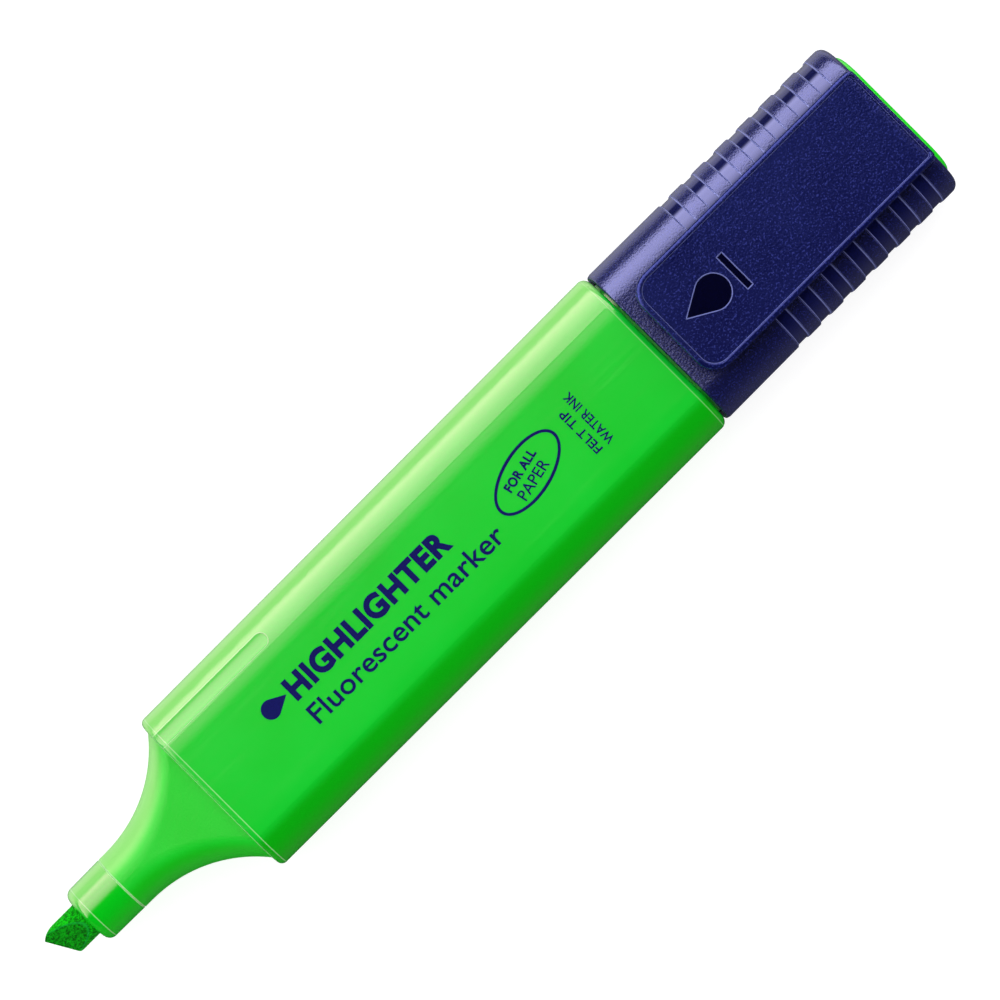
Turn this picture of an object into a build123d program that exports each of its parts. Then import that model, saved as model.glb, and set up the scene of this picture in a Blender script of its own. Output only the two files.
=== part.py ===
from build123d import *
import math
import os

# A flat highlighter with a chisel felt nib, lying on its back with its cap pushed onto the tail.
# +X runs from the nib to the cap's end and +Z out of the face that carries the clip. The origin is
# under the middle of the pen, on the surface that it lies on. Everything is in millimetres.

# Lengths along the pen, in order from the nib to the cap's end
NIB_REACH = 5.6
NOZZLE_LENGTH = 6.0
NECK_LENGTH = 15.4
BARREL_LENGTH = 76.5
CAP_GAP = 0.3
CAP_LENGTH = 40.0
INSERT_PROUD = 0.7

# Cross-sections: width, thickness and corner radius. The barrel's back is plane.
BARREL_FRONT_SECTION = (24.5, 15.0, 4.9)
BARREL_REAR_SECTION = (24.9, 15.0, 4.9)
CAP_MOUTH_SECTION = (24.3, 14.7, 4.8)
CAP_END_SECTION = (23.9, 14.5, 4.8)
CAP_BORE = (21.9, 12.1, 3.9)
NECK_BASE = (21.66, 11.9, 3.8)
TAIL_SECTION = (21.5, 11.8, 3.7)
NOZZLE_FRONT_RADIUS = 3.98
NOZZLE_REAR_RADIUS = 4.05
NIB_RADIUS = 2.41
CLIP_WIDTH = 15.2

# Clearances between pieces, and the fine chamfer at a joint that shows as a hairline
PRESS_FIT = 0.02
LOOSE_FIT = 0.05
HAIRLINE = 0.1

# How far a cutting shape runs past the surface that it cuts
PAST = 1.0

# The flat left between the corners of a section that is all but round
LEAST_FLAT = 0.01

# Places along the pen
PEN_LENGTH = (
    NIB_REACH + NOZZLE_LENGTH + NECK_LENGTH + BARREL_LENGTH + CAP_GAP + CAP_LENGTH + INSERT_PROUD
)
NIB_TIP = -PEN_LENGTH / 2
NOZZLE_FRONT = NIB_TIP + NIB_REACH
NECK_FRONT = NOZZLE_FRONT + NOZZLE_LENGTH
BARREL_FRONT = NECK_FRONT + NECK_LENGTH
BARREL_REAR = BARREL_FRONT + BARREL_LENGTH
CAP_MOUTH = BARREL_REAR + CAP_GAP
CAP_END = CAP_MOUTH + CAP_LENGTH
AXIS_Z = BARREL_FRONT_SECTION[1] / 2

# Inside the pen: the collars pushed into the barrel and the fibre rod clamped between them
COLLAR_DEPTH = 6.0
COLLAR_WALL = 1.3
TAIL_LENGTH = 8.8
SPIGOT_LENGTH = 9.5
SPIGOT_RADIUS = 3.25
CORE_SECTION = (20.4, 11.2, 5.0)
CORE_FRONT = BARREL_FRONT + COLLAR_DEPTH + LOOSE_FIT
CORE_REAR = BARREL_REAR - COLLAR_DEPTH - LOOSE_FIT
POCKET_DEPTH = 4.0
NIB_REAR = CORE_FRONT + POCKET_DEPTH

# The nib's chisel: its edge slants across the pen and lies between two bevels
CHISEL_SLANT = 30.0
CHISEL_TIP_Y = 1.6
CHISEL_HALF_THICKNESS = 0.75
BEVEL_ANGLE = 25.5
NIB_NOSE_RUN = 2.1

# Inside the cap
SEAL_MOUTH = CAP_MOUTH + 15.8
SEAL_FLANGE = CAP_MOUTH + 29.6
FLANGE_THICKNESS = 1.2
CAP_END_WALL = 1.6
INSERT_SECTION = (20.2, 10.6, 4.4)
INSERT_RECESS = 0.8
SKIRT_INSET = 1.6

# Grip grooves round both sides of the cap
GROOVE_COUNT = 7
GROOVE_PITCH = 3.86
GROOVE_WIDTH = 1.75
GROOVE_DEPTH = 0.2
GROOVE_SLOPE = 0.11
GROOVE_START = CAP_MOUTH + 12.28
GROOVE_INNER_Y = 6.8

# The clip: a plate with a raised bead round a sunk field, rolled down to a root on the cap's face
CLIP_FREE_END = CAP_MOUTH + 1.7
CLIP_ROOT_END = CAP_END - 0.15
CLIP_UNDERSIDE = 16.0
CLIP_CREST = 17.9
CLIP_FREE_CORNER = 3.0
CLIP_ROOT_CORNER = 0.85
ROLL_RADIUS = 3.1
ROLL_ANGLE = 48.0
BEAD_WIDTH = 0.75
FIELD_DEPTH = 0.35
ROOT_RADIUS = 1.3
ROOT_X = CLIP_ROOT_END - ROOT_RADIUS
ROOT_Z = 15.5
MARK_DEPTH = 0.15


def across(x):
    """The plane square to the pen at x: origin on the axis, first direction +Y, second +Z."""
    return Plane(origin=(x, 0, AXIS_Z), x_dir=(0, 1, 0), z_dir=(1, 0, 0))


def slab(x, section, inset=0.0):
    """A rounded rectangle across the pen, drawn in by inset all round."""
    width, thickness, corner = section
    return across(x) * RectangleRounded(width - 2 * inset, thickness - 2 * inset, corner - inset)


def bar(x_from, x_to, section, inset=0.0):
    """A straight bar of one section along the pen."""
    return extrude(slab(x_from, section, inset), x_to - x_from)


def rod(x_from, x_to, radius):
    """A round bar along the pen's axis."""
    return extrude(across(x_from) * Circle(radius), x_to - x_from)


def end_edges(solid, end):
    """The edges round one end of a solid: end 0 is the nib side and -1 is the cap side."""
    return solid.edges().group_by(Axis.X)[end]


def arc_rise(run, full_run, full_rise):
    """The height of an arc after a run, when it starts level and reaches full_rise at full_run."""
    radius = (full_run**2 + full_rise**2) / (2 * full_rise)
    return radius - math.sqrt(radius**2 - run**2)


def barrel():
    """The tube that is held: plane faces, both ends bored for collars, a slot at a front corner."""
    front_rounding = 0.8
    rear_rounding = 1.1
    core_room = 0.35
    skim = 0.01
    front = slab(BARREL_FRONT, BARREL_FRONT_SECTION, -skim)
    rear = slab(BARREL_REAR, BARREL_REAR_SECTION, -skim)
    body = loft([front, rear], ruled=True)
    body = fillet(end_edges(body, 0), front_rounding)
    body = fillet(end_edges(body, -1), rear_rounding)
    body &= Pos(0, 0, AXIS_Z) * Box(2 * BARREL_LENGTH, 2 * BARREL_LENGTH, 2 * AXIS_Z)
    body -= bar(BARREL_FRONT - PAST, BARREL_FRONT + COLLAR_DEPTH, NECK_BASE, -PRESS_FIT)
    body -= bar(BARREL_FRONT, BARREL_REAR, CORE_SECTION, -core_room)
    body -= bar(BARREL_REAR - COLLAR_DEPTH, BARREL_REAR + PAST, tail_collar_section(), -PRESS_FIT)
    return body - finger_slot()


def finger_slot():
    """The waste of the shallow slot: a round-ended trough along the curve of the corner."""
    width, thickness, corner = BARREL_FRONT_SECTION
    slot_width = 2.0
    slot_length = 18.55
    slot_depth = 0.22
    slot_tilt = math.radians(18.5)
    trough_radius = 4.0
    corner_y = width / 2 - corner
    corner_z = thickness / 2 - corner
    centre = corner - slot_depth + trough_radius
    centre_y = corner_y + centre * math.sin(slot_tilt)
    centre_z = corner_z + centre * math.cos(slot_tilt)
    profile = across(BARREL_FRONT - PAST) * Pos(centre_y, centre_z) * Circle(trough_radius)
    trough = extrude(profile, slot_length + 2 * PAST)
    outward = Plane(
        origin=(BARREL_FRONT, corner_y, AXIS_Z + corner_z),
        x_dir=(1, 0, 0),
        z_dir=(0, math.sin(slot_tilt), math.cos(slot_tilt)),
    )
    outline = SlotOverall(2 * slot_length, slot_width)
    return trough & extrude(outward * outline, corner + PAST)


def neck_section(x):
    """The neck's section at x: round at the nozzle, the flat pen's own shape at the barrel."""
    level_length = 1.3
    run = max(0.0, x - NECK_FRONT - level_length)
    full_run = NECK_LENGTH - level_length
    base_width, base_thickness, base_corner = NECK_BASE
    side_rise = arc_rise(run, full_run, base_width / 2 - NOZZLE_REAR_RADIUS)
    face_rise = arc_rise(run, full_run, base_thickness / 2 - NOZZLE_REAR_RADIUS)
    half_width = NOZZLE_REAR_RADIUS + side_rise
    half_thickness = NOZZLE_REAR_RADIUS + face_rise
    corner = NOZZLE_REAR_RADIUS - LEAST_FLAT
    corner += (base_corner - corner) * run / full_run
    return (2 * half_width, 2 * half_thickness, corner)


def front_section():
    """The neck, with the collar that is pushed into the barrel's front end."""
    stations = 8
    places = [NECK_FRONT + NECK_LENGTH * i / stations for i in range(stations + 1)]
    neck = loft([slab(x, neck_section(x)) for x in places])
    neck = chamfer(end_edges(neck, 0), HAIRLINE)
    body = neck + bar(BARREL_FRONT, BARREL_FRONT + COLLAR_DEPTH, NECK_BASE)
    spigot_end = NECK_FRONT + SPIGOT_LENGTH
    body -= rod(NECK_FRONT - PAST, spigot_end, SPIGOT_RADIUS + PRESS_FIT)
    widening = loft(
        [
            slab(spigot_end, (2 * SPIGOT_RADIUS, 2 * SPIGOT_RADIUS, SPIGOT_RADIUS - LEAST_FLAT)),
            slab(BARREL_FRONT, NECK_BASE, 2 * COLLAR_WALL),
            slab(BARREL_FRONT + COLLAR_DEPTH, NECK_BASE, COLLAR_WALL),
        ],
        ruled=True,
    )
    return body - widening


def nib_holder():
    """The polished nozzle and the spigot behind it, bored for the nib, with six ribs round it."""
    nose_rounding = 1.1
    nozzle = loft(
        [
            across(NOZZLE_FRONT) * Circle(NOZZLE_FRONT_RADIUS),
            across(NECK_FRONT) * Circle(NOZZLE_REAR_RADIUS),
        ]
    )
    nozzle = fillet(end_edges(nozzle, 0), nose_rounding)
    nozzle = chamfer(end_edges(nozzle, -1), HAIRLINE)
    spigot_end = NECK_FRONT + SPIGOT_LENGTH
    body = nozzle + rod(NECK_FRONT, spigot_end, SPIGOT_RADIUS)
    lip_length = 1.0
    bore_radius = 2.8
    rib_width = 0.6
    body -= rod(NOZZLE_FRONT - PAST, NOZZLE_FRONT + lip_length, NIB_RADIUS + LOOSE_FIT)
    body -= rod(NOZZLE_FRONT + lip_length, spigot_end + PAST, bore_radius)
    rib_length = spigot_end - NOZZLE_FRONT - lip_length
    rib_height = bore_radius - NIB_RADIUS
    rib = Box(rib_length, rib_width, rib_height, align=(Align.MIN, Align.CENTER, Align.MIN))
    rib = Pos(NOZZLE_FRONT + lip_length, 0, NIB_RADIUS + LOOSE_FIT) * rib
    for turn in range(0, 360, 60):
        body += Pos(0, 0, AXIS_Z) * Rot(turn, 0, 0) * rib
    return body


def nib():
    """The felt rod, ground to a slanting chisel between two bevels."""
    heel_rounding = 0.6
    slant = math.radians(CHISEL_SLANT)
    low_y = -NIB_RADIUS
    low_x = NIB_TIP + (CHISEL_TIP_Y - low_y) * math.tan(slant)
    nose_start = (NIB_TIP + NIB_NOSE_RUN, NIB_RADIUS)
    nose_drop = NIB_RADIUS - CHISEL_TIP_Y
    nose_radius = (NIB_NOSE_RUN**2 + nose_drop**2) / (2 * nose_drop)
    tip = (NIB_TIP, CHISEL_TIP_Y)
    sides = Polyline(tip, (low_x, low_y), (NIB_REAR, low_y), (NIB_REAR, NIB_RADIUS), nose_start)
    outline = make_face([*sides.edges(), RadiusArc(nose_start, tip, -nose_radius)])
    outline = fillet(outline.vertices().sort_by_distance((low_x, low_y))[0], heel_rounding)
    prism = extrude(Pos(0, 0, AXIS_Z) * outline, NIB_RADIUS + PAST, both=True)
    felt = rod(NIB_TIP - PAST, NIB_REAR, NIB_RADIUS) & prism
    edge_frame = Plane(
        origin=(NIB_TIP, CHISEL_TIP_Y, AXIS_Z),
        x_dir=(math.cos(slant), math.sin(slant), 0),
        z_dir=(0, 0, 1),
    )
    block = Box(8 * NIB_REACH, 4 * NIB_REACH, 2 * NIB_REACH, align=(Align.CENTER, Align.CENTER, Align.MIN))
    above = edge_frame * Pos(0, 0, CHISEL_HALF_THICKNESS) * Rot(0, -BEVEL_ANGLE, 0) * block
    below = mirror(above, Plane.XY.offset(AXIS_Z))
    return felt - above - below


def reservoir_core():
    """The fibre rod that holds the ink, with a pocket for the nib's rear end."""
    core = bar(CORE_FRONT, CORE_REAR, CORE_SECTION)
    return core - rod(CORE_FRONT - PAST, NIB_REAR + LOOSE_FIT, NIB_RADIUS + LOOSE_FIT)


def reservoir_film():
    """The film wrapped round the fibre rod, open at both ends."""
    film_thickness = 0.15
    sleeve = bar(CORE_FRONT, CORE_REAR, CORE_SECTION, -PRESS_FIT - film_thickness)
    return sleeve - bar(CORE_FRONT - PAST, CORE_REAR + PAST, CORE_SECTION, -PRESS_FIT)


def tail_collar_section():
    """The section of the tail plug's collar, a little larger than the tail itself."""
    collar_step = 0.28
    width, thickness, corner = TAIL_SECTION
    return (width + 2 * collar_step, thickness + 2 * collar_step, corner + collar_step)


def tail_plug():
    """The closed tail that the cap is pushed onto, with its collar in the barrel's rear end."""
    tail_end = BARREL_REAR + TAIL_LENGTH
    end_wall = 1.4
    end_rounding = 1.0
    tail = bar(BARREL_REAR - COLLAR_DEPTH, tail_end, TAIL_SECTION)
    tail = fillet(end_edges(tail, -1), end_rounding)
    collar = bar(BARREL_REAR - COLLAR_DEPTH, BARREL_REAR - LOOSE_FIT, tail_collar_section())
    hollow = bar(BARREL_REAR - COLLAR_DEPTH - PAST, tail_end - end_wall, TAIL_SECTION, COLLAR_WALL)
    return tail + collar - hollow


def cap_section(x):
    """The cap's outer section at x, which tapers from the mouth to the closed end."""
    share = (x - CAP_MOUTH) / CAP_LENGTH
    pairs = zip(CAP_MOUTH_SECTION, CAP_END_SECTION)
    return tuple(mouth + (end - mouth) * share for mouth, end in pairs)


def groove(x):
    """The waste of one grip groove that starts at x: sloping walls, on the two sides only."""
    bounds = [
        (x - GROOVE_SLOPE, 0.0),
        (x + GROOVE_SLOPE, GROOVE_DEPTH),
        (x + GROOVE_WIDTH - GROOVE_SLOPE, GROOVE_DEPTH),
        (x + GROOVE_WIDTH + GROOVE_SLOPE, 0.0),
    ]
    kept = loft([slab(at, cap_section(at), inset) for at, inset in bounds], ruled=True)
    waste = bar(bounds[0][0], bounds[-1][0], CAP_MOUTH_SECTION, -PAST) - kept
    middle = Pos(x, 0, AXIS_Z) * Box(4 * GROOVE_WIDTH, 2 * GROOVE_INNER_Y, 4 * AXIS_Z)
    return waste - middle


def cap_shell():
    """The cap's outer shell: grip grooves, a stepped bore, and an end let in for the insert."""
    body = loft([slab(CAP_MOUTH, CAP_MOUTH_SECTION), slab(CAP_END, CAP_END_SECTION)], ruled=True)
    mouth_rounding = 0.35
    end_rounding = 1.2
    step_x = SEAL_FLANGE + FLANGE_THICKNESS
    step_inset = 0.4
    seat_clearance = 0.1
    body = fillet(end_edges(body, 0), mouth_rounding)
    body = fillet(end_edges(body, -1), end_rounding)
    body -= bar(CAP_MOUTH - PAST, step_x, CAP_BORE)
    body -= bar(step_x, CAP_END - CAP_END_WALL, CAP_BORE, step_inset)
    body -= bar(CAP_END - INSERT_RECESS, CAP_END + PAST, INSERT_SECTION)
    body -= bar(CAP_END - 2 * CAP_END_WALL, CAP_END, INSERT_SECTION, SKIRT_INSET)
    for i in range(GROOVE_COUNT):
        body -= groove(GROOVE_START + i * GROOVE_PITCH)
    seat = Cylinder(ROOT_RADIUS + seat_clearance, CLIP_WIDTH)
    seat = Pos(ROOT_X, 0, ROOT_Z) * Rot(90, 0, 0) * seat
    return body - seat


def cap_inner_seal():
    """The cup that closes over the nozzle when the pen is capped, on a flange across the cap."""
    cup_radius = 5.3
    bore_radius = NOZZLE_REAR_RADIUS + LOOSE_FIT
    lead_in = 0.4
    cup = rod(SEAL_MOUTH, SEAL_FLANGE, cup_radius) - rod(SEAL_MOUTH - PAST, SEAL_FLANGE, bore_radius)
    cup = chamfer(end_edges(cup, 0), lead_in)
    flange = bar(SEAL_FLANGE, SEAL_FLANGE + FLANGE_THICKNESS, CAP_BORE, LOOSE_FIT)
    return cup + flange


def cap_end_insert():
    """The domed piece let into the cap's end, with the skirt that holds it there."""
    skirt_inset = SKIRT_INSET + LOOSE_FIT
    skirt_wall = 1.2
    skirt_reach = 5.0
    dome_rounding = 1.2
    head = bar(CAP_END - INSERT_RECESS, CAP_END + INSERT_PROUD, INSERT_SECTION, LOOSE_FIT)
    head = fillet(end_edges(head, -1), dome_rounding)
    skirt = bar(CAP_END - skirt_reach, CAP_END - INSERT_RECESS, INSERT_SECTION, skirt_inset)
    hollow_inset = skirt_inset + skirt_wall
    skirt -= bar(CAP_END - skirt_reach - PAST, CAP_END - INSERT_RECESS, INSERT_SECTION, hollow_inset)
    return head + skirt


def clip_top_line(sink):
    """The clip's top from the side, sunk below the crest: a flat line, then the roll at the root."""
    roll = math.radians(ROLL_ANGLE)
    roll_start = CLIP_ROOT_END - ROLL_RADIUS * math.sin(roll)
    radius = ROLL_RADIUS - sink
    top = CLIP_CREST - sink
    roll_end = (roll_start + radius * math.sin(roll), top - radius * (1 - math.cos(roll)))
    half = roll / 2
    roll_middle = (roll_start + radius * math.sin(half), top - radius * (1 - math.cos(half)))
    flat = Line((CLIP_FREE_END, top), (roll_start, top))
    rolled = ThreePointArc((roll_start, top), roll_middle, roll_end)
    return flat, rolled


def clip():
    """The clip: plate, rolled root seated in the cap's face, bead, sunk field and pinch rib."""
    flat, rolled = clip_top_line(0.0)
    neck_x = ROOT_X - ROOT_RADIUS
    outline = make_face(
        [
            flat,
            rolled,
            Line(rolled @ 1, (CLIP_ROOT_END, ROOT_Z)),
            ThreePointArc((CLIP_ROOT_END, ROOT_Z), (ROOT_X, ROOT_Z - ROOT_RADIUS), (neck_x, ROOT_Z)),
            Polyline(
                (neck_x, ROOT_Z),
                (neck_x, CLIP_UNDERSIDE),
                (CLIP_FREE_END, CLIP_UNDERSIDE),
                (CLIP_FREE_END, CLIP_CREST),
            ),
        ]
    )
    plate = extrude(Plane.XZ * outline, CLIP_WIDTH / 2, both=True)
    plate &= clip_plan(0.0, 0.0, CLIP_FREE_CORNER, CLIP_ROOT_CORNER)
    rib_radius = 0.8
    rib_length = 10.0
    rib_x = CLIP_FREE_END + 2.2
    rib = Pos(rib_x, 0, CLIP_UNDERSIDE) * Rot(90, 0, 0) * Cylinder(rib_radius, rib_length)
    return beaded(plate) + rib - clip_mark()


def beaded(plate):
    """The clip's plate with its field sunk, and the bead that is left rounded on both sides."""
    outer_rounding = 0.5
    inner_rounding = 0.15
    touching = 0.01
    upward = 0.5
    tops = [face for face in plate.faces() if face.normal_at(face.center()).Z > upward]
    edges = [edge for face in tops for edge in face.edges()]
    outer = [edge for edge in edges if sum(other.is_same(edge) for other in edges) == 1]
    rounded = fillet(outer, outer_rounding)
    field = clip_field()
    sunk = rounded - field
    rim = [
        edge
        for edge in new_edges(rounded, field, combined=sunk)
        if min(face.distance_to(edge @ 0.5) for face in tops) < touching
    ]
    return fillet(rim, inner_rounding)


def clip_plan(inset, root_inset, free_corner, root_corner):
    """A block over the clip's outline seen from above, drawn in by inset, less at the root."""
    x_from = CLIP_FREE_END + inset
    x_to = CLIP_ROOT_END - root_inset
    half = CLIP_WIDTH / 2 - inset
    face = Pos((x_from + x_to) / 2, 0, AXIS_Z) * Rectangle(x_to - x_from, 2 * half)
    corners = face.vertices().sort_by(Axis.X)
    face = fillet(corners[:2], free_corner)
    face = fillet(face.vertices().sort_by(Axis.X)[-2:], root_corner)
    return extrude(face, 2 * AXIS_Z)


def clip_field():
    """The waste above the sunk field, which keeps a bead of even width round it."""
    flat, rolled = clip_top_line(FIELD_DEPTH)
    height = CLIP_CREST + PAST
    above = make_face(
        [
            flat,
            rolled,
            Polyline(
                rolled @ 1,
                rolled @ 1 + rolled % 1,
                (CLIP_ROOT_END, height),
                (CLIP_FREE_END, height),
                (CLIP_FREE_END, CLIP_CREST - FIELD_DEPTH),
            ),
        ]
    )
    waste = extrude(Plane.XZ * above, CLIP_WIDTH, both=True)
    root_inset = BEAD_WIDTH * math.cos(math.radians(ROLL_ANGLE))
    free_corner = CLIP_FREE_CORNER - BEAD_WIDTH
    root_corner = CLIP_ROOT_CORNER / 2
    return waste & clip_plan(BEAD_WIDTH, root_inset, free_corner, root_corner)


def clip_mark():
    """The waste of the mark sunk in the field: a plain ink drop above a short bar."""
    drop_x = CLIP_FREE_END + 7.4
    drop_radius = 2.3
    point_x = -2 * drop_radius
    touch_x = drop_radius**2 / point_x
    touch_y = math.sqrt(drop_radius**2 - touch_x**2)
    point = make_face(Polyline((point_x, 0), (touch_x, touch_y), (touch_x, -touch_y), close=True))
    stroke_gap = 0.9
    stroke_width = 0.9
    stroke_length = 5.4
    stroke = Pos(drop_radius + stroke_gap, 0) * Rectangle(
        stroke_width, stroke_length, align=(Align.MIN, Align.CENTER)
    )
    floor = CLIP_CREST - FIELD_DEPTH - MARK_DEPTH
    return extrude(Pos(drop_x, 0, floor) * (Circle(drop_radius) + point + stroke), FIELD_DEPTH)


PIECES = {
    "barrel": barrel,
    "front_section": front_section,
    "nib_holder": nib_holder,
    "nib": nib,
    "reservoir_core": reservoir_core,
    "reservoir_film": reservoir_film,
    "tail_plug": tail_plug,
    "cap_shell": cap_shell,
    "cap_inner_seal": cap_inner_seal,
    "cap_end_insert": cap_end_insert,
    "clip": clip,
}

os.makedirs("parts", exist_ok=True)
for name, make in PIECES.items():
    export_step(make(), f"parts/{name}.step")
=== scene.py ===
import math

import bmesh
import bpy
from mathutils import Matrix, Vector


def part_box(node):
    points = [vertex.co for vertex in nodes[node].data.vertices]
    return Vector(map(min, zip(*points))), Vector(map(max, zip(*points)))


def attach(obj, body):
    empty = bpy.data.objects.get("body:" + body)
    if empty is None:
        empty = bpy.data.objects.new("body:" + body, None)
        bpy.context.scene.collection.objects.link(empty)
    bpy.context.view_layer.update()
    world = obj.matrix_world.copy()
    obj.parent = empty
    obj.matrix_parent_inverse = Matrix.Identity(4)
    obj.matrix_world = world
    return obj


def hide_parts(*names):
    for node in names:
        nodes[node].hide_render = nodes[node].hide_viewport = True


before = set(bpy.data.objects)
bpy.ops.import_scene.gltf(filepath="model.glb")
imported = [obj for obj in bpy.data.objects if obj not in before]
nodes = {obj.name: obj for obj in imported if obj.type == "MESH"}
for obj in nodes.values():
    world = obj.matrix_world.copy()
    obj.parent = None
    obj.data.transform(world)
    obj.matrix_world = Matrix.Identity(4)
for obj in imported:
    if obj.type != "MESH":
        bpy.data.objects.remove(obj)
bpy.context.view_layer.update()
MM = 0.001
scene = bpy.context.scene
scene.view_settings.view_transform = "Standard"
scene.view_settings.look = "None"

# ---------------------------------------------------------------- node helpers


def add(tree, kind, sockets=None, **settings):
    """One shader node: sockets is {input: constant or output socket}, settings are its properties."""
    node = tree.nodes.new(kind)
    for name, value in settings.items():
        setattr(node, name, value)
    for key, value in (sockets or {}).items():
        if isinstance(value, bpy.types.NodeSocket):
            tree.links.new(value, node.inputs[key])
        else:
            node.inputs[key].default_value = value
    return node


def maths(tree, operation, *values):
    """Result of one Math node."""
    return add(tree, "ShaderNodeMath", dict(enumerate(values)), operation=operation).outputs[0]


def ramp(tree, value, *stops):
    """Colour ramp through (position, grey or colour) stops."""
    node = add(tree, "ShaderNodeValToRGB", {"Fac": value})
    elements = node.color_ramp.elements
    elements[0].position, elements[-1].position = stops[0][0], stops[-1][0]
    for position, _ in stops[1:-1]:
        elements.new(position)
    for position, colour in stops:
        element = min(elements, key=lambda one: abs(one.position - position))
        grey = isinstance(colour, (int, float))
        element.color = (colour, colour, colour, 1) if grey else (*colour, 1)
    return node.outputs["Color"]


def within(tree, value, low, high, soft):
    """1 where low < value < high, fading to 0 over soft on both sides."""
    rise = add(tree, "ShaderNodeMapRange", {0: value, 1: low - soft, 2: low, 3: 0.0, 4: 1.0})
    fall = add(tree, "ShaderNodeMapRange", {0: value, 1: high, 2: high + soft, 3: 1.0, 4: 0.0})
    return maths(tree, "MULTIPLY", rise.outputs[0], fall.outputs[0])


def eased(tree, value, start, end):
    """0 at start and 1 at end, with a smooth change between."""
    return add(tree, "ShaderNodeMapRange", {0: value, 1: start, 2: end, 3: 0.0, 4: 1.0},
               interpolation_type="SMOOTHSTEP").outputs[0]


def noise(tree, vector, size, detail=3.0, roughness=0.5):
    """Noise whose blobs are about size metres across, 0 to 1."""
    made = add(tree, "ShaderNodeTexNoise", {"Vector": vector, "Scale": 0.6 / size, "Detail": detail,
                                            "Roughness": roughness})
    return made.outputs["Fac"]


def mix(tree, factor, a, b):
    """Colour mix of a and b, each a colour or an output socket."""
    node = add(tree, "ShaderNodeMix", data_type="RGBA")
    for key, value in ((0, factor), (6, a), (7, b)):
        if isinstance(value, bpy.types.NodeSocket):
            tree.links.new(value, node.inputs[key])
        else:
            node.inputs[key].default_value = value if key == 0 else (*value, 1)
    return node.outputs[2]


def material(name):
    """A new material, its node tree, the point's place on the object and the Principled shader."""
    made = bpy.data.materials.new(name)
    made.use_nodes = True
    tree = made.node_tree
    tree.nodes.clear()
    place = add(tree, "ShaderNodeTexCoord").outputs["Object"]
    shader = add(tree, "ShaderNodeBsdfPrincipled")
    add(tree, "ShaderNodeOutputMaterial", {"Surface": shader.outputs[0]})
    return made, tree, place, shader


def plug(tree, shader, **sockets):
    """Sets or links the shader's sockets, written with _ for each space."""
    for key, value in sockets.items():
        socket = shader.inputs[key.replace("_", " ")]
        if isinstance(value, bpy.types.NodeSocket):
            tree.links.new(value, socket)
        else:
            socket.default_value = (*value, 1) if isinstance(value, tuple) else value


def dress(node, made):
    """Gives a CAD node its material."""
    nodes[node].data.materials.clear()
    nodes[node].data.materials.append(made)


# ---------------------------------------------------------------- materials


SMOOTH_COSINE = 0.992  # a surface that bends less than this within the rim's width has no rim
SHARP_COSINE = 0.95
CLOUD_SIZE = 9 * MM
SCRATCH_WIDTH = 0.35 * MM
SCRATCH_STRETCH = 0.04
GRAIN_DULLING = 0.06
SCRATCH_DULLING = 0.04
POLISHED_ROUGHNESS = 0.05
# Noise levels where the painted glints begin and reach full strength.
GLINT_START = 0.56
GLINT_FULL = 0.72


def edges(tree, radius):
    """1 along sharp edges and rims, 0 elsewhere."""
    rounded = add(tree, "ShaderNodeBevel", {"Radius": radius}, samples=8).outputs[0]
    flat = add(tree, "ShaderNodeNewGeometry").outputs["Normal"]
    cosine = add(tree, "ShaderNodeVectorMath", {0: rounded, 1: flat},
                 operation="DOT_PRODUCT").outputs["Value"]
    return add(tree, "ShaderNodeMapRange", {0: cosine, 1: SMOOTH_COSINE, 2: SHARP_COSINE,
                                            3: 0.0, 4: 1.0}).outputs[0]


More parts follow.
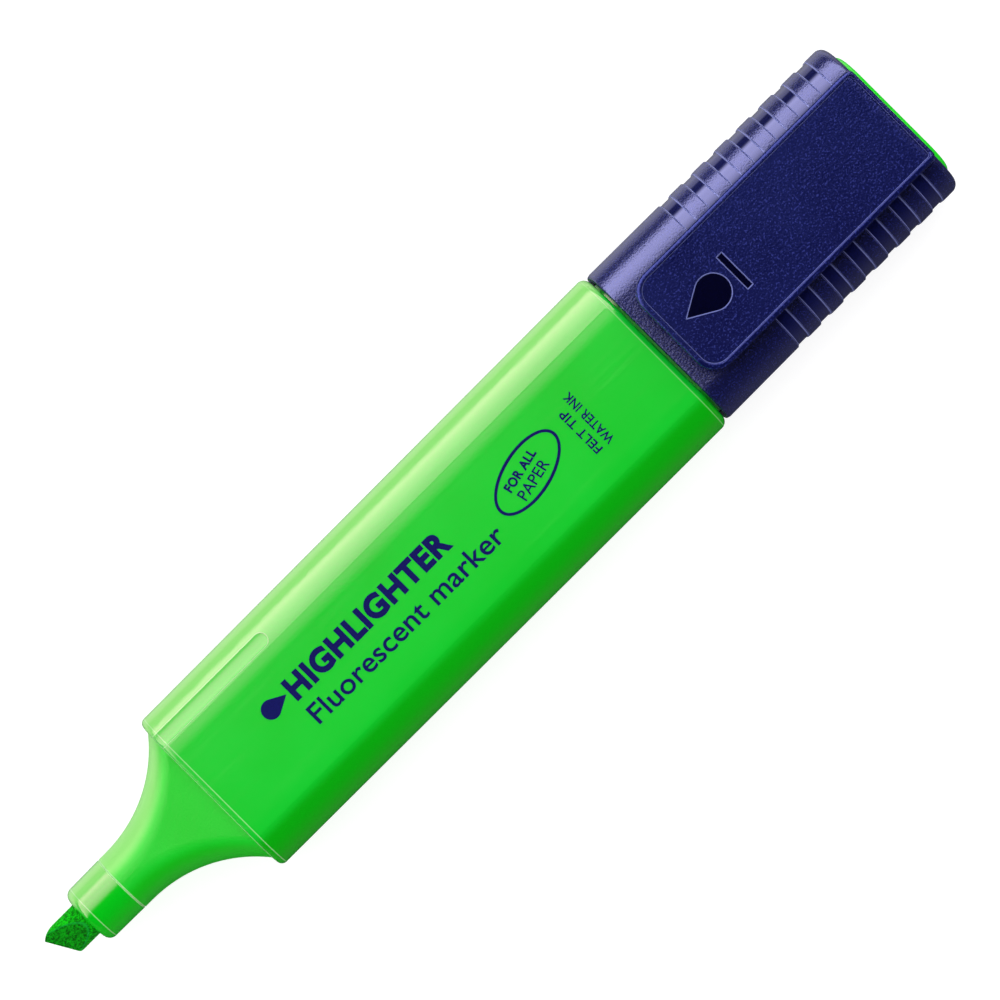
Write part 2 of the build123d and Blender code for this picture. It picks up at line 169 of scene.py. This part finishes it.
class Plastic:
    """Injection-moulded plastic: pigment that varies in clouds from base to light, grain from the mould's
    surface (its size and height in metres), faint rubbing marks along the pen and painted highlights along
    the rims. edge is the colour of the painted rim highlights, the argument after specular their strength
    and rim their width; tint colours the reflections; glint is the strength of the painted glints, light
    flecks in navy plastic."""

    def __init__(self, name, base, light, grain, bump, rough, edge, tint,
                 specular=1.0, wear=0.6, rim=0.10 * MM, glint=0.0):
        self.made, self.tree, self.place, self.shader = material(name)
        self.axes = add(self.tree, "ShaderNodeSeparateXYZ", {0: self.place}).outputs
        self.base, self.light, self.grain, self.bump, self.rough = base, light, grain, bump, rough
        self.edge, self.wear, self.rim, self.glint = edge, wear, rim, glint
        plug(self.tree, self.shader, Specular_Tint=tint, Specular_IOR_Level=specular)

    def finish(self, polish=None, lines=None, tints=(), bow=None):
        """Wires the material. polish masks where the mould was polished, lines masks painted highlight
        lines, tints are (mask, colour) pairs of painted shade or painted highlight laid over the pigment,
        and bow is the height of a broad, gentle shape."""
        tree = self.tree
        cloud = noise(tree, self.place, CLOUD_SIZE, 3)
        fine = noise(tree, self.place, self.grain, 2, 0.6)
        stretched = add(tree, "ShaderNodeMapping", {"Vector": self.place,
                                                    "Scale": (SCRATCH_STRETCH, 1, 1)}).outputs[0]
        rubbed = noise(tree, stretched, SCRATCH_WIDTH, 2)
        pigment = mix(tree, ramp(tree, cloud, (0.3, 0), (0.7, 1)), self.base, self.light)
        # Painted shade and painted highlights laid over the pigment.
        for mask, colour in tints:
            pigment = mix(tree, mask, pigment, colour)
        dull = None if polish is None else maths(tree, "SUBTRACT", 1.0, polish)
        # Painted glints: light flecks laid over the navy pigment.
        if self.glint:
            painted_glints = noise(tree, self.place, self.grain * 0.9, 1, 0.5)
            painted_glints = ramp(tree, painted_glints, (GLINT_START, 0), (GLINT_FULL, self.glint))
            if dull is not None:
                painted_glints = maths(tree, "MULTIPLY", painted_glints, dull)
            pigment = mix(tree, painted_glints, pigment, NAVY_GLINT)
        # Painted highlights along the rims and along the given lines.
        rims = maths(tree, "MULTIPLY", edges(tree, self.rim), self.wear)
        if lines is not None:
            rims = maths(tree, "MAXIMUM", rims, lines)
        pigment = mix(tree, rims, pigment, self.edge)
        scuff = ramp(tree, rubbed, (0.55, 0), (0.75, 1))
        roughness = maths(tree, "MULTIPLY_ADD", fine, GRAIN_DULLING, self.rough - GRAIN_DULLING / 2)
        roughness = maths(tree, "MULTIPLY_ADD", scuff, SCRATCH_DULLING, roughness)
        height = fine
        if dull is not None:
            height = maths(tree, "MULTIPLY", fine, dull)
            roughness = add(tree, "ShaderNodeMix", {0: polish, 2: roughness,
                                                    3: POLISHED_ROUGHNESS}).outputs[0]
        relief = add(tree, "ShaderNodeBump", {"Height": height, "Distance": self.bump, "Strength": 1.0})
        if bow is not None:
            bowed = add(tree, "ShaderNodeBump", {"Height": bow, "Distance": 1.0, "Strength": 1.0})
            tree.links.new(bowed.outputs[0], relief.inputs["Normal"])
        plug(tree, self.shader, Base_Color=pigment, Roughness=roughness, Normal=relief.outputs[0])
        return self.made

    def fade(self, axis, start, end):
        """0 at start and 1 at end along the axis, eased between them."""
        return eased(self.tree, self.axes[axis], start, end)

    def painted_highlight_side(self, start, end, low, high):
        """Mask for a painted highlight on the +Y side that the softbox shines into: fades in from start to
        end across, low to high up.
        """
        return maths(self.tree, "MULTIPLY", self.fade("Y", start, end), self.fade("Z", low, high))


# Colour of the painted highlights along the rims of the green plastics.
GREEN_RIM_HIGHLIGHT = (0.45, 0.80, 0.38)
GREEN_TINT = (1.0, 0.45, 0.66)  # with the green below it, a reflection looks pale yellow-green
# Painted highlight where the softbox shines in, and painted shade on the sides that face away from it.
GREEN_PAINTED_HIGHLIGHT = (0.26, 0.72, 0.17)
GREEN_SHADED = (0.0008, 0.43, 0.004)
NECK_SHADED = (0.0008, 0.53, 0.006)
# Colour of the painted highlights along the rims of the navy plastics.
NAVY_RIM_HIGHLIGHT = (0.22, 0.25, 0.60)
# Colour of the painted glints in navy plastic.
NAVY_GLINT = (0.035, 0.045, 0.26)
NAVY_TINT = (0.46, 0.46, 0.85)
NAVY_IOR = 1.7
FIELD_TINT = (0.22, 0.25, 0.90)
MARK_PAINTED_SHADE = (0.001, 0.001, 0.012)
LINE_FADE = 0.05 * MM


def highlight_line(paint, x, strength, width=0.08 * MM):
    """A painted highlight: a fine pale line round the pen at x, where an edge or a joint catches the
    light.
    """
    line = within(paint.tree, paint.axes["X"], x - width / 2, x + width / 2, LINE_FADE)
    return maths(paint.tree, "MULTIPLY", line, strength)


CROWN = 1.0
CROWN_Y = -2.0 * MM
EASED_FROM = 6.0 * MM
EASED_TO = 9.5 * MM
EASED_DROP = 0.14 * MM
FULL_FROM = 7.5 * MM
FULLNESS = 26.0
# Where the painted shade on the -Y side begins and where it is full.
SIDE_START = 7.2 * MM
SIDE_FULL = 9.0 * MM


def barrel_bow(paint):
    """Height by which the broad face is very slightly domed, rounds off gently and has full corners."""
    tree, y = paint.tree, paint.axes["Y"]
    off_crown = maths(tree, "SUBTRACT", y, CROWN_Y)
    dome = maths(tree, "MULTIPLY", maths(tree, "MULTIPLY", off_crown, off_crown), -CROWN)
    far = maths(tree, "ABSOLUTE", y)
    drop_off = maths(tree, "MULTIPLY_ADD", eased(tree, far, EASED_FROM, EASED_TO), -EASED_DROP, dome)
    past = maths(tree, "MAXIMUM", maths(tree, "SUBTRACT", far, FULL_FROM), 0.0)
    return maths(tree, "MULTIPLY_ADD", maths(tree, "MULTIPLY", past, past), FULLNESS, drop_off)


SLOT_REACH = 18.55 * MM
SLOT_Y = 8.93 * MM
SLOT_RADIUS = 0.95 * MM
UPPER_HALF = 10 * MM


def slot_highlight(paint):
    """A painted highlight: a pale line along the edge of the finger slot on the +Y side of the face."""
    tree, x, y = paint.tree, paint.axes["X"], paint.axes["Y"]
    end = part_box("barrel")[0].x + SLOT_REACH - SLOT_RADIUS
    along = maths(tree, "MAXIMUM", maths(tree, "SUBTRACT", x, end), 0.0)
    across = maths(tree, "SUBTRACT", y, SLOT_Y)
    away = maths(tree, "SQRT", maths(tree, "ADD", maths(tree, "MULTIPLY", along, along),
                                     maths(tree, "MULTIPLY", across, across)))
    line = within(tree, away, SLOT_RADIUS - 0.02 * MM, SLOT_RADIUS + 0.05 * MM, 0.04 * MM)
    on_face = maths(tree, "GREATER_THAN", paint.axes["Z"], UPPER_HALF)
    return maths(tree, "MULTIPLY", maths(tree, "MULTIPLY", line, on_face), 0.5)


def barrel_plastic():
    """Polished green, with painted shade on the -Y side, a painted highlight where the softbox shines into
    the +Y side, and painted highlight lines.
    """
    paint = Plastic("barrel_plastic", (0.001, 0.59, 0.020), (0.003, 0.64, 0.030), 0.30 * MM, 6e-6, 0.14,
                    GREEN_RIM_HIGHLIGHT, GREEN_TINT)
    low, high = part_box("barrel")
    lines = slot_highlight(paint)
    # Painted highlight lines round the barrel's front and rear ends.
    for x, strength in ((low.x + 0.05 * MM, 0.6), (low.x + 0.80 * MM, 0.55), (high.x - 0.80 * MM, 0.35)):
        lines = maths(paint.tree, "MAXIMUM", lines, highlight_line(paint, x, strength))
    # Painted shade towards the -Y side and a painted highlight on the +Y side's upper corner.
    tints = ((paint.fade("Y", -SIDE_START, -SIDE_FULL), GREEN_SHADED),
             (paint.painted_highlight_side(8.5 * MM, 11.2 * MM, 7.5 * MM, 10.5 * MM), GREEN_PAINTED_HIGHLIGHT))
    return paint.finish(lines=lines, tints=tints, bow=barrel_bow(paint))


def neck_plastic():
    """Matt green, with painted shade where the surface faces -Y and a painted highlight where it faces +Y.
    """
    paint = Plastic("neck_plastic", (0.001, 0.59, 0.016), (0.004, 0.65, 0.028), 0.17 * MM, 30e-6, 0.34,
                    GREEN_RIM_HIGHLIGHT, GREEN_TINT, specular=0.45, wear=0.0)
    facing = add(paint.tree, "ShaderNodeTexCoord").outputs["Normal"]
    to_side = add(paint.tree, "ShaderNodeSeparateXYZ", {0: facing}).outputs["Y"]
    # Painted shade and painted highlight by which way the surface faces.
    tints = ((eased(paint.tree, to_side, -0.15, -0.50), NECK_SHADED),
             (eased(paint.tree, to_side, 0.20, 0.60), GREEN_PAINTED_HIGHLIGHT))
    # Painted highlight line at the neck's joint.
    ring = highlight_line(paint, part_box("front_section")[0].x + 0.06 * MM, 0.8, 0.12 * MM)
    return paint.finish(lines=ring, tints=tints)


def nozzle_plastic():
    """Highly polished green with painted highlight lines at the nose and at the joint with the neck, and a
    painted highlight on the +Y side.
    """
    paint = Plastic("nozzle_plastic", (0.001, 0.54, 0.008), (0.002, 0.59, 0.014), 0.40 * MM, 1e-6, 0.07,
                    GREEN_RIM_HIGHLIGHT, GREEN_TINT, wear=0.0)
    nose = highlight_line(paint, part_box("nib_holder")[0].x + 1.14 * MM, 0.6)
    ring = highlight_line(paint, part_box("front_section")[0].x - 0.05 * MM, 0.8, 0.10 * MM)
    # Painted highlight on the +Y side.
    tints = ((paint.painted_highlight_side(1.3 * MM, 2.8 * MM, 6.5 * MM, 9.0 * MM), GREEN_PAINTED_HIGHLIGHT),)
    return paint.finish(lines=maths(paint.tree, "MAXIMUM", nose, ring), tints=tints)


GROOVE_START = 12.28 * MM
GROOVE_PITCH = 3.86 * MM
GROOVE_WIDTH = 1.75 * MM
GROOVE_COUNT = 7
GROOVE_WALL = 0.06 * MM
GROOVE_MARGIN = 0.11 * MM
GROOVES_BEYOND = 6.8 * MM


def cap_plastic():
    """Textured navy plastic with polished floors in the grip grooves at both sides and painted highlights
    along their walls.
    """
    paint = Plastic("cap_plastic", (0.003, 0.004, 0.048), (0.006, 0.008, 0.070), 0.16 * MM, 45e-6, 0.22,
                    NAVY_RIM_HIGHLIGHT, NAVY_TINT, glint=0.35)
    plug(paint.tree, paint.shader, IOR=NAVY_IOR, Sheen_Weight=0.06, Sheen_Roughness=0.4,
         Sheen_Tint=(0.6, 0.6, 1.0))
    tree, x, y = paint.tree, paint.axes["X"], paint.axes["Y"]
    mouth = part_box("cap_shell")[0].x
    run = maths(tree, "SUBTRACT", x, mouth + GROOVE_START)
    step = maths(tree, "WRAP", run, GROOVE_PITCH, 0.0)
    banded = within(tree, run, 0.0, GROOVE_PITCH * GROOVE_COUNT, 0.01 * MM)
    side = within(tree, maths(tree, "ABSOLUTE", y), GROOVES_BEYOND, 20 * MM, 0.02 * MM)
    grooved = maths(tree, "MULTIPLY", banded, side)
    floors = within(tree, step, GROOVE_MARGIN, GROOVE_WIDTH - GROOVE_MARGIN, 0.03 * MM)
    # Painted highlights along the groove walls.
    wall_highlights = maths(tree, "MAXIMUM", within(tree, step, 0.0, GROOVE_WALL, GROOVE_WALL),
                  within(tree, step, GROOVE_WIDTH - GROOVE_WALL, GROOVE_WIDTH, GROOVE_WALL))
    wall_highlights = maths(tree, "MULTIPLY", maths(tree, "MULTIPLY", wall_highlights, grooved), 0.8)
    return paint.finish(polish=maths(tree, "MULTIPLY", floors, grooved), lines=wall_highlights)


MARK_LOW = 17.0 * MM
MARK_HIGH = 17.50 * MM
MARK_REACH = 46 * MM
MARK_HALF_WIDTH = 5 * MM


def clip_plastic():
    """Textured navy plastic, polished in the mark that is sunk in the clip's face, with painted shade in
    the mark.
    """
    paint = Plastic("clip_plastic", (0.002, 0.003, 0.045), (0.005, 0.008, 0.070), 0.17 * MM, 30e-6, 0.13,
                    NAVY_RIM_HIGHLIGHT, FIELD_TINT, glint=0.7, wear=0.9, rim=0.18 * MM)
    tree, x, y, z = paint.tree, paint.axes["X"], paint.axes["Y"], paint.axes["Z"]
    inside = within(tree, x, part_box("clip")[0].x + 1.6 * MM, MARK_REACH, 0.02 * MM)
    inside = maths(tree, "MULTIPLY", inside, within(tree, y, -MARK_HALF_WIDTH, MARK_HALF_WIDTH, 0.02 * MM))
    mark = maths(tree, "MULTIPLY", inside, within(tree, z, MARK_LOW, MARK_HIGH, 0.01 * MM))
    # Painted shade in the sunk mark.
    return paint.finish(polish=mark, tints=((mark, MARK_PAINTED_SHADE),))


dress("barrel", barrel_plastic())
dress("front_section", neck_plastic())
dress("nib_holder", nozzle_plastic())
dress("tail_plug", Plastic("tail_plastic", (0.002, 0.60, 0.018), (0.004, 0.66, 0.028), 0.35 * MM, 3e-6,
                           0.20, GREEN_RIM_HIGHLIGHT, GREEN_TINT).finish())
dress("cap_shell", cap_plastic())
dress("cap_inner_seal", Plastic("seal_plastic", (0.006, 0.008, 0.075), (0.009, 0.012, 0.100), 0.5 * MM,
                                2e-6, 0.20, NAVY_RIM_HIGHLIGHT, NAVY_TINT).finish())
dress("cap_end_insert", Plastic("insert_plastic", (0.001, 0.80, 0.008), (0.003, 0.88, 0.015), 0.30 * MM,
                                2e-6, 0.20, GREEN_RIM_HIGHLIGHT, GREEN_TINT).finish())
dress("clip", clip_plastic())


def fibrous(name, dark, light, size, pull):
    """Bonded fibres that run along the pen."""
    made, tree, place, shader = material(name)
    along = add(tree, "ShaderNodeMapping", {"Vector": place, "Scale": (pull, 1, 1)}).outputs[0]
    strands = noise(tree, along, size, 4, 0.7)
    fuzz = noise(tree, place, size * 1.6, 3, 0.7)
    tone = maths(tree, "MULTIPLY_ADD", fuzz, 0.5, maths(tree, "MULTIPLY", strands, 0.5))
    plug(tree, shader, Base_Color=mix(tree, ramp(tree, tone, (0.38, 0), (0.62, 1)), dark, light))
    relief = add(tree, "ShaderNodeBump", {"Height": tone, "Distance": 40e-6, "Strength": 1.0})
    plug(tree, shader, Normal=relief.outputs[0], Roughness=maths(tree, "MULTIPLY_ADD", fuzz, 0.2, 0.65),
         Specular_IOR_Level=0.25)
    return made


def felt_nib_paint():
    """Ink-soaked felt: speckled fibres, darker where it was ground, with a painted highlight along the
    ridge round the cut.
    """
    made, tree, place, shader = material("felt_nib")
    along = add(tree, "ShaderNodeMapping", {"Vector": place, "Scale": (0.5, 1, 1)}).outputs[0]
    strands = noise(tree, along, 0.17 * MM, 3, 0.7)
    fuzz = noise(tree, place, 0.13 * MM, 2, 0.6)
    tone = maths(tree, "MULTIPLY_ADD", fuzz, 0.5, maths(tree, "MULTIPLY", strands, 0.5))
    speck = ramp(tree, tone, (0.42, 0), (0.58, 1))
    skin = mix(tree, speck, (0.0006, 0.14, 0.002), (0.004, 0.60, 0.006))
    ground = mix(tree, speck, (0.0004, 0.08, 0.001), (0.002, 0.36, 0.005))
    cut = add(tree, "ShaderNodeAttribute", attribute_name="cut").outputs["Fac"]
    ridge_highlight = add(tree, "ShaderNodeAttribute", attribute_name="ridge_highlight").outputs["Fac"]
    # Painted highlight along the ridge where the bevels meet the round felt.
    colour = mix(tree, ridge_highlight, mix(tree, cut, skin, ground), (0.006, 0.42, 0.045))
    relief = add(tree, "ShaderNodeBump", {"Height": tone, "Distance": 60e-6, "Strength": 1.0})
    plug(tree, shader, Base_Color=colour, Normal=relief.outputs[0],
         Roughness=maths(tree, "MULTIPLY_ADD", fuzz, 0.2, 0.65), Specular_IOR_Level=0.08)
    return made


felt_paint = felt_nib_paint()
dress("nib", felt_paint)
dress("reservoir_core", fibrous("fibre", (0.004, 0.35, 0.010), (0.02, 0.62, 0.04), 0.12 * MM, 0.05))


def wrap_film():
    """Thin, faintly creased plastic film."""
    made, tree, place, shader = material("film")
    along = add(tree, "ShaderNodeMapping", {"Vector": place, "Scale": (0.3, 1, 1)}).outputs[0]
    creases = noise(tree, along, 1.5 * MM, 3)
    plug(tree, shader, Base_Color=mix(tree, creases, (0.72, 0.74, 0.72), (0.86, 0.88, 0.86)),
         Roughness=maths(tree, "MULTIPLY_ADD", creases, 0.2, 0.15))
    relief = add(tree, "ShaderNodeBump", {"Height": creases, "Distance": 60e-6})
    plug(tree, shader, Normal=relief.outputs[0], Coat_Weight=0.4)
    return made


dress("reservoir_film", wrap_film())

# ---------------------------------------------------------------- print on the barrel

INK_LIFT = 0.012 * MM
INK_SINK = 0.010 * MM
face_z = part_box("barrel")[1].z


def print_paint():
    """Dull navy ink, very slightly speckled."""
    made, tree, place, shader = material("print_ink")
    speck = noise(tree, place, 0.12 * MM, 3)
    plug(tree, shader, Base_Color=mix(tree, ramp(tree, speck, (0.35, 0), (0.65, 1)),
                                      (0.0012, 0.0020, 0.085), (0.0022, 0.0032, 0.110)),
         Roughness=maths(tree, "MULTIPLY_ADD", speck, 0.15, 0.30))
    relief = add(tree, "ShaderNodeBump", {"Height": speck, "Distance": 3e-6})
    plug(tree, shader, Normal=relief.outputs[0], Specular_IOR_Level=0.1)
    return made


ink = print_paint()


def ink_piece(name, mesh):
    """A closed film of ink lying on the barrel's face: mesh is in the face's plane, z 0 to 1."""
    low, high = face_z - INK_SINK, face_z + INK_LIFT
    for vertex in mesh.vertices:
        vertex.co.z = high if vertex.co.z > 0.5 else low
    made = bpy.data.objects.new(name, mesh)
    scene.collection.objects.link(made)
    mesh.materials.clear()
    mesh.materials.append(ink)
    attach(made, "pen_body")


def lettering(name, text, x, y, wide, tall, turn=0.0, weight=0.0):
    """Text fitted to a box wide along its line and tall across it, its lower left corner at x, y (mm).
    weight fattens the strokes."""
    curve = bpy.data.curves.new(name, "FONT")
    curve.body = text
    curve.extrude = 0.5
    curve.offset = weight
    curve.space_character = 1 + 2 * weight
    curve.resolution_u = 6
    holder = bpy.data.objects.new(name, curve)
    scene.collection.objects.link(holder)
    bpy.context.view_layer.update()
    mesh = bpy.data.meshes.new_from_object(holder.evaluated_get(bpy.context.evaluated_depsgraph_get()))
    bpy.data.objects.remove(holder)
    work = bmesh.new()
    work.from_mesh(mesh)
    bmesh.ops.remove_doubles(work, verts=work.verts, dist=1e-5)
    xs = [v.co.x for v in work.verts]
    ys = [v.co.y for v in work.verts]
    scale_x = wide * MM / (max(xs) - min(xs))
    scale_y = tall * MM / (max(ys) - min(ys))
    spin = Matrix.Rotation(turn, 2)
    for v in work.verts:
        flat = spin @ Vector(((v.co.x - min(xs)) * scale_x, (v.co.y - min(ys)) * scale_y))
        v.co = (flat.x + x * MM, flat.y + y * MM, v.co.z + 0.5)
    work.to_mesh(mesh)
    work.free()
    ink_piece(name, mesh)


def outline_mesh(name, *loops):
    """A closed slab inside one outline, or a closed band between two outlines of the same length."""
    work = bmesh.new()
    low, high = ([[work.verts.new((x * MM, y * MM, level)) for x, y in loop] for loop in loops]
                 for level in (0.0, 1.0))
    count = len(loops[0])
    for i in range(count):
        j = (i + 1) % count
        for lower, upper in zip(low, high):
            work.faces.new((lower[i], lower[j], upper[j], upper[i]))
        if len(loops) == 2:
            for outer, inner in (low, high):
                work.faces.new((outer[i], outer[j], inner[j], inner[i]))
    if len(loops) == 1:
        work.faces.new(low[0][::-1])
        work.faces.new(high[0])
    bmesh.ops.recalc_face_normals(work, faces=work.faces)
    mesh = bpy.data.meshes.new(name)
    work.to_mesh(mesh)
    work.free()
    return mesh


def drop(x, y, radius, reach, steps=40):
    """Outline of a plain ink drop with its point towards the cap, its round end centred at x, y (mm)."""
    spread = math.acos(radius / reach)
    angles = [spread + (2 * math.pi - 2 * spread) * i / steps for i in range(steps + 1)]
    return [(x + radius * math.cos(a), y + radius * math.sin(a)) for a in angles] + [(x + reach, y)]


ink_piece("print_drop", outline_mesh("print_drop", drop(-32.6, 2.1, 1.25, 2.6)))
lettering("print_title", "HIGHLIGHTER", -29.6, 0.45, 26.6, 3.15, weight=0.05)
lettering("print_subtitle", "Fluorescent marker", -29.7, -3.4, 31.9, 2.6, weight=0.012)

OVAL_X = 9.5
OVAL_Y = 0.45
OVAL_TILT = math.radians(13)


def oval(half_length, half_width, steps=96):
    """Outline of a tilted oval round the small print (mm)."""
    points = []
    for i in range(steps):
        a = 2 * math.pi * i / steps
        u, v = half_length * math.cos(a), half_width * math.sin(a)
        points.append((OVAL_X + u * math.cos(OVAL_TILT) - v * math.sin(OVAL_TILT),
                       OVAL_Y + u * math.sin(OVAL_TILT) + v * math.cos(OVAL_TILT)))
    return points


ink_piece("print_oval", outline_mesh("print_oval", oval(5.9, 3.0), oval(5.5, 2.6)))
lettering("print_oval_upper", "FOR ALL", 6.35, 0.0, 5.8, 1.25, OVAL_TILT, 0.045)
lettering("print_oval_lower", "PAPER", 6.95, -1.95, 5.4, 1.45, OVAL_TILT, 0.01)
lettering("print_across_upper", "FELT TIP", 18.1, -3.9, 6.6, 1.15, math.pi / 2, 0.02)
lettering("print_across_lower", "WATER INK", 20.0, -4.1, 8.0, 1.2, math.pi / 2, 0.02)

# ---------------------------------------------------------------- felt nib

NIB_RADIUS = 2.41 * MM
CHISEL_SLANT = math.radians(30)
BEVEL_ANGLE = math.radians(25.5)
CHISEL_HALF_THICKNESS = 0.75 * MM
CHISEL_TIP_Y = 1.6 * MM
CUT_FADE = 0.06 * MM
# Fade, width, rise and strength of the painted highlight along the bevels' curved edge.
RIDGE_HIGHLIGHT_FADE = 0.07 * MM
RIDGE_HIGHLIGHT_WIDTH = 0.13 * MM
RIDGE_HIGHLIGHT_RISE = 0.08 * MM
RIDGE_HIGHLIGHT_STRENGTH = 0.55
FELT_VOXEL = 0.07 * MM
FIBRE_SIZE = 0.22 * MM
FIBRE_HEIGHT = 0.06 * MM


def clamped(value):
    """The value held between 0 and 1."""
    return max(0.0, min(1.0, value))


def mark_cut(mesh):
    """Stores how far each point lies on the ground bevels, and how strong the painted highlight is along
    their curved edge.
    """
    low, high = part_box("nib")
    axis_z = (low.z + high.z) / 2
    cut = mesh.attributes.new("cut", "FLOAT", "POINT")
    ridge_highlight = mesh.attributes.new("ridge_highlight", "FLOAT", "POINT")
    lean = math.sin(BEVEL_ANGLE)
    facing = Vector((-lean * math.cos(CHISEL_SLANT), -lean * math.sin(CHISEL_SLANT),
                     math.cos(BEVEL_ANGLE)))
    edge = Vector((low.x, CHISEL_TIP_Y, CHISEL_HALF_THICKNESS))
    for vertex in mesh.vertices:
        spot = Vector((vertex.co.x, vertex.co.y, abs(vertex.co.z - axis_z)))
        off = abs(facing.dot(spot - edge))
        radius = math.hypot(spot.y, spot.z)
        near_edge = clamped(1.3 - off / RIDGE_HIGHLIGHT_FADE)
        near_rim = clamped((radius - NIB_RADIUS + RIDGE_HIGHLIGHT_WIDTH) / RIDGE_HIGHLIGHT_RISE)
        cut.data[vertex.index].value = clamped(1.6 - off / CUT_FADE)
        ridge_highlight.data[vertex.index].value = RIDGE_HIGHLIGHT_STRENGTH * near_edge * near_rim


def felt_nib():
    """The CAD nib's shape with a fine, slightly uneven felt surface, in the CAD nib's place."""
    made = bpy.data.objects.new("felt_nib", nodes["nib"].data.copy())
    scene.collection.objects.link(made)
    voxels = made.modifiers.new("voxels", "REMESH")
    voxels.mode = "VOXEL"
    voxels.voxel_size = FELT_VOXEL
    soften = made.modifiers.new("soften", "SMOOTH")
    soften.factor = 0.5
    soften.iterations = 1
    fibres = bpy.data.textures.new("fibres", "CLOUDS")
    fibres.noise_scale = FIBRE_SIZE
    fibres.noise_depth = 2
    lumps = made.modifiers.new("lumps", "DISPLACE")
    lumps.texture = fibres
    lumps.texture_coords = "LOCAL"
    lumps.strength = FIBRE_HEIGHT
    lumps.mid_level = 0.62
    bpy.context.view_layer.update()
    final = bpy.data.meshes.new_from_object(made.evaluated_get(bpy.context.evaluated_depsgraph_get()))
    made.modifiers.clear()
    made.data = final
    final.name = "felt_nib"
    final.materials.clear()
    final.materials.append(felt_paint)
    mark_cut(final)
    for polygon in final.polygons:
        polygon.use_smooth = True
    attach(made, "pen_body")
    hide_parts("nib")


felt_nib()

# ---------------------------------------------------------------- floor, light and camera


FLOOR_HALF = 3.0
FLOOR_Z = -0.02 * MM  # just under the pen's plane back, so that the two surfaces never flicker
FLOOR_GLOW = 0.86


def floor():
    """Plain pale floor, lit a little from within so that it is as white as the photograph's."""
    mesh = bpy.data.meshes.new("floor")
    corners = ((-1, -1), (1, -1), (1, 1), (-1, 1))
    mesh.from_pydata([(x * FLOOR_HALF, y * FLOOR_HALF, FLOOR_Z) for x, y in corners], [], [(0, 1, 2, 3)])
    made = bpy.data.objects.new("floor", mesh)
    scene.collection.objects.link(made)
    paper, tree, place, shader = material("floor_paper")
    mottle = noise(tree, place, 60 * MM, 2)
    plug(tree, shader, Base_Color=mix(tree, mottle, (0.28, 0.28, 0.28), (0.30, 0.30, 0.30)),
         Roughness=0.9, Specular_IOR_Level=0.0, Emission_Color=(1.0, 1.0, 1.0),
         Emission_Strength=FLOOR_GLOW)
    mesh.materials.append(paper)
    made.visible_glossy = False


floor()


BRIGHTEST = 8.0


def studio():
    """Plain soft studio light: a soft dome for the body colour, and one long softbox beside the pen on
    the +Y side for the reflections. The camera sees plain white."""
    world = bpy.data.worlds.new("studio")
    scene.world = world
    world.use_nodes = True
    world.cycles.sampling_method = "NONE"
    tree = world.node_tree
    tree.nodes.clear()
    way = add(tree, "ShaderNodeTexCoord").outputs["Generated"]
    axes = add(tree, "ShaderNodeSeparateXYZ", {0: way}).outputs
    angle = maths(tree, "ARCTAN2", axes["Y"], axes["Z"])
    turn = maths(tree, "MULTIPLY_ADD", angle, 1 / (2 * math.pi), 0.5)

    def round_pen(*stops):
        """Brightness by direction round the pen's axis: degrees from straight up, towards +Y."""
        return ramp(tree, turn, *((0.5 + degrees / 360, level / BRIGHTEST) for degrees, level in stops))

    softbox = round_pen((-180, 0.03), (-150, 0.05), (-110, 0.14), (-85, 0.10), (-50, 0.02), (-14, 0.0),
                        (0, 0.02), (3, 0.15), (7, 0.9), (12, 2.4), (20, 3.5), (34, 4.7), (48, 4.8),
                        (60, 5.4), (66, 3.6), (73, 0.5), (78, 0.05), (96, 0.1), (103, 1.0), (130, 1.2),
                        (150, 0.6), (180, 0.03))
    dome = round_pen((-180, 1.0), (-110, 0.6), (-70, 0.35), (-40, 0.15), (-12, 0.55), (8, 2.0),
                     (28, 2.9), (44, 1.4), (60, 0.25), (95, 0.1), (180, 1.0))
    rays = add(tree, "ShaderNodeLightPath").outputs
    level = add(tree, "ShaderNodeMix", {0: rays["Is Glossy Ray"], 2: dome, 3: softbox}).outputs[0]
    glow = add(tree, "ShaderNodeBackground", {"Color": level, "Strength": BRIGHTEST})
    white = add(tree, "ShaderNodeBackground", {"Color": (1, 1, 1, 1), "Strength": 1.0})
    both = add(tree, "ShaderNodeMixShader", {0: rays["Is Camera Ray"], 1: glow.outputs[0],
                                             2: white.outputs[0]})
    add(tree, "ShaderNodeOutputWorld", {"Surface": both.outputs[0]})


studio()


SENSOR_WIDTH = 36
LENS = 231.54
CAMERA_PLACE = Vector((-6.24, -0.23, 791.4)) * MM
CAMERA_TARGET = Vector((4.92, 0.46, 7.5)) * MM


def camera():
    """Looks straight down at the pen's face, with the pen's axis from lower left to upper right."""
    made = bpy.data.objects.new("camera", bpy.data.cameras.new("camera"))
    scene.collection.objects.link(made)
    made.data.sensor_width = SENSOR_WIDTH
    made.data.lens = LENS
    made.data.clip_start = 0.01
    made.data.clip_end = 20
    back = (CAMERA_PLACE - CAMERA_TARGET).normalized()
    up = Vector((1, 1, 0))
    up = (up - back * up.dot(back)).normalized()
    right = up.cross(back)
    turned = Matrix((right, up, back)).transposed().to_4x4()
    made.matrix_world = Matrix.Translation(CAMERA_PLACE) @ turned
    scene.camera = made


camera()
